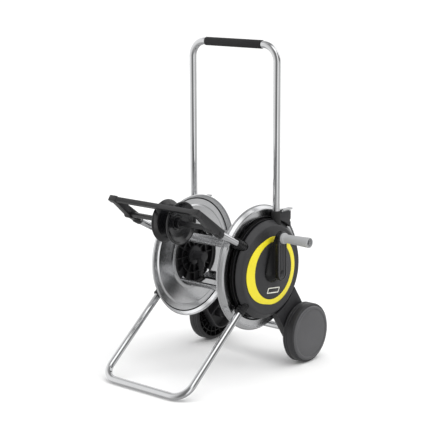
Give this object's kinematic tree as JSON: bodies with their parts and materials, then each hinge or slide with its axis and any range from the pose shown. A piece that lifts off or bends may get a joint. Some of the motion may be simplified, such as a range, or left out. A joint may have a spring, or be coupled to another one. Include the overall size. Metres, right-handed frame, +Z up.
{
  "type": "garden hose reel cart",
  "caption": "Wheeled garden hose reel: open metal drum between plastic side frames, crank, raised tube handle, front stand and a hose guide with a sliding spool.",
  "frame": {"origin": "on the ground, below the middle of the overall box", "axes": "+Z up, +X along the drum axis towards the crank, +Y towards the wheels and handle; the stand and hose guide point to -Y"},
  "size_m": [0.55, 0.641, 1],
  "materials": {
    "frame_plastic": "fine moulded texture, black",
    "cover_plastic": "satin moulded, dark grey",
    "accent_yellow": "satin yellow",
    "badge_plate": "satin light grey, blank",
    "socket_plastic": "semi-gloss black",
    "chrome_tube": "polished steel tube",
    "drum_steel": "satin galvanised sheet steel",
    "axle_steel": "zinc-plated",
    "screw_steel": "zinc-plated",
    "brass": "turned",
    "seal_rubber": "matte",
    "elbow_plastic": "fine moulded texture, black",
    "nut_plastic": "satin grey",
    "nipple_plastic": "satin dark grey",
    "guide_plastic": "satin moulded, near-black",
    "disc_plastic": "semi-gloss black",
    "hub_plastic": "moulded, black",
    "crank_plastic": "satin moulded, near-black",
    "grip_grey": "satin light grey",
    "wheel_plastic": "moulded, dark grey",
    "tread_plastic": "smooth dark grey tread",
    "wheel_cover_plastic": "satin dark grey",
    "handle_foam": "matte black sleeve",
    "lever_plastic": "satin light grey"
  },
  "bodies": {
    "frame": {"right_side_frame": "frame_plastic", "left_side_frame": "frame_plastic", "right_cover": "cover_plastic", "left_cover": "cover_plastic", "accent_ring": "accent_yellow", "badge_plate": "badge_plate", "right_handle_sleeve": "socket_plastic", "left_handle_sleeve": "socket_plastic", "right_guide_socket": "socket_plastic", "left_guide_socket": "socket_plastic", "right_stand_socket": "socket_plastic", "left_stand_socket": "socket_plastic", "stand_tube": "chrome_tube", "axle_tube": "chrome_tube", "right_guide_tube": "chrome_tube", "left_guide_tube": "chrome_tube", "wheel_axle": "axle_steel", "axle_clips": "axle_steel", "cover_screws": "screw_steel", "guide_screws": "screw_steel", "inlet_pipe": "brass", "swivel_seal": "seal_rubber", "inlet_elbow": "elbow_plastic", "inlet_nut": "nut_plastic", "inlet_nipple": "nipple_plastic", "right_guide_arm": "guide_plastic", "left_guide_arm": "guide_plastic", "guide_top_bar": "guide_plastic", "guide_rod": "guide_plastic"},
    "drum": {"right_flange": "drum_steel", "left_flange": "drum_steel", "core_bar_1": "drum_steel", "core_bar_2": "drum_steel", "core_bar_3": "drum_steel", "core_bar_4": "drum_steel", "right_hub": "hub_plastic", "left_hub": "hub_plastic", "hub_screws": "screw_steel", "clutch_housing": "hub_plastic", "drive_clutch": "hub_plastic", "swivel_elbow": "elbow_plastic", "drum_nipple": "nipple_plastic"},
    "crank": {"crank_shaft": "axle_steel", "crank_arm": "crank_plastic", "crank_screw": "screw_steel", "grip_pin": "axle_steel"},
    "grip": {"crank_grip": "grip_grey"},
    "right_wheel": {"right_wheel": "wheel_plastic", "right_tread": "tread_plastic", "right_wheel_cover": "wheel_cover_plastic"},
    "left_wheel": {"left_wheel": "wheel_plastic", "left_tread": "tread_plastic", "left_wheel_cover": "wheel_cover_plastic"},
    "handle": {"handle_tube": "chrome_tube", "handle_grip": "handle_foam"},
    "right_lever": {"right_clamp_lever": "lever_plastic"},
    "left_lever": {"left_clamp_lever": "lever_plastic"},
    "guide_slider": {"guide_bush": "hub_plastic"},
    "guide_spool": {"right_guide_disc": "disc_plastic", "left_guide_disc": "disc_plastic"}
  },
  "joints": [
    {"name": "drum_spin", "type": "hinge", "parent": "frame", "child": "drum", "pos_m": [-0.046, 0.0705, 0.32], "axis": [1, 0, 0], "continuous": true},
    {"name": "crank_spin", "type": "hinge", "parent": "frame", "child": "crank", "pos_m": [0.154, 0.0705, 0.32], "axis": [1, 0, 0], "continuous": true},
    {"name": "grip_spin", "type": "hinge", "parent": "crank", "child": "grip", "pos_m": [0.214, 0.0705, 0.424], "axis": [1, 0, 0], "continuous": true},
    {"name": "right_wheel_spin", "type": "hinge", "parent": "frame", "child": "right_wheel", "pos_m": [0.144, 0.2275, 0.093], "axis": [1, 0, 0], "continuous": true},
    {"name": "left_wheel_spin", "type": "hinge", "parent": "frame", "child": "left_wheel", "pos_m": [-0.236, 0.2275, 0.093], "axis": [1, 0, 0], "continuous": true},
    {"name": "handle_slide", "type": "slide", "parent": "frame", "child": "handle", "axis": [0, 0, 1], "range_m": [-0.19, 0]},
    {"name": "right_lever_hinge", "type": "hinge", "parent": "frame", "child": "right_lever", "pos_m": [0.115, 0.1305, 0.49], "axis": [1, 0, 0], "range_deg": [0, 75]},
    {"name": "left_lever_hinge", "type": "hinge", "parent": "frame", "child": "left_lever", "pos_m": [-0.207, 0.1305, 0.49], "axis": [1, 0, 0], "range_deg": [0, 75]},
    {"name": "guide_slide", "type": "slide", "parent": "frame", "child": "guide_slider", "axis": [1, 0, 0], "range_m": [-0.13, 0.092]},
    {"name": "guide_spool_spin", "type": "hinge", "parent": "guide_slider", "child": "guide_spool", "pos_m": [-0.027, -0.1855, 0.4885], "axis": [1, 0, 0], "continuous": true}
  ],
  "couplings": [
    {"joint": "crank_spin", "follows": "drum_spin", "ratio": 1}
  ]
}
